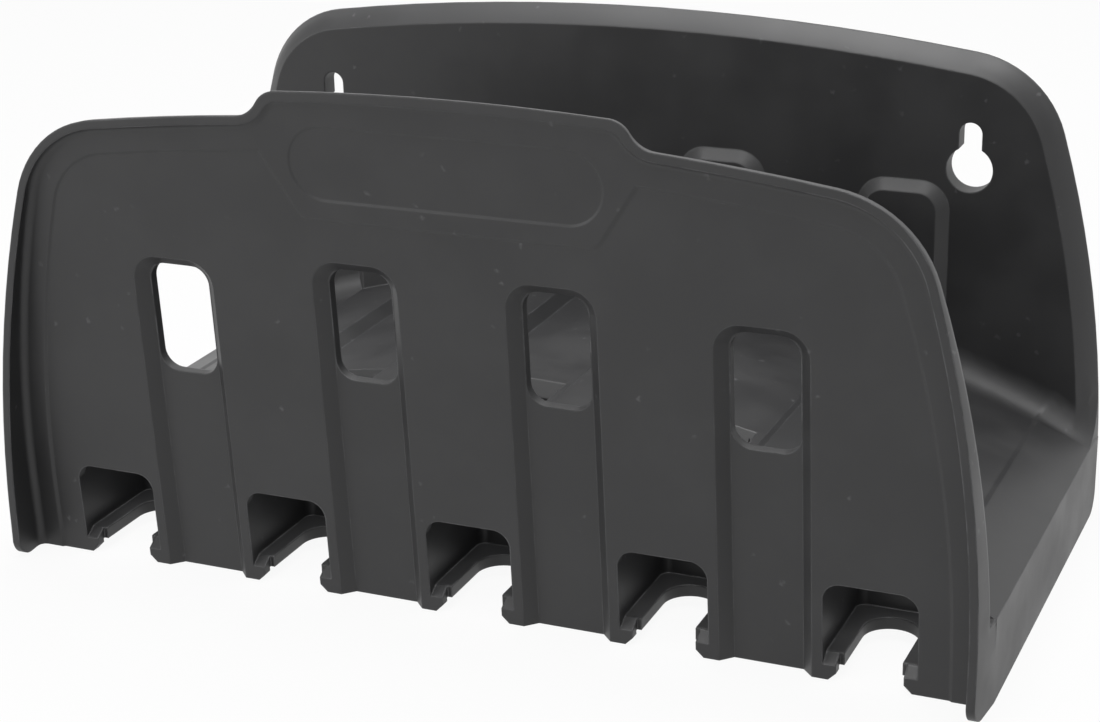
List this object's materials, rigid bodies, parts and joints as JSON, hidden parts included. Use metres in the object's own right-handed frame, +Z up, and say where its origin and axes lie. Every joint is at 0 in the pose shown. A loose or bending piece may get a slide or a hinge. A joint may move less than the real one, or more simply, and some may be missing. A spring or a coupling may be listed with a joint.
{
  "type": "wall hose hanger",
  "caption": "Moulded plastic wall hanger with an arched floor between a windowed front panel and a back plate, and slots for nozzles below.",
  "frame": {"origin": "on the wall plane, midway between the keyholes' entry circles", "axes": "+X along the wall to the right as seen from the front, +Y into the wall, +Z up"},
  "size_m": [0.2664, 0.1335, 0.137],
  "materials": {
    "charcoal_plastic": "fine moulded grain"
  },
  "bodies": {
    "root": {"bracket_body": "charcoal_plastic"}
  },
  "joints": []
}
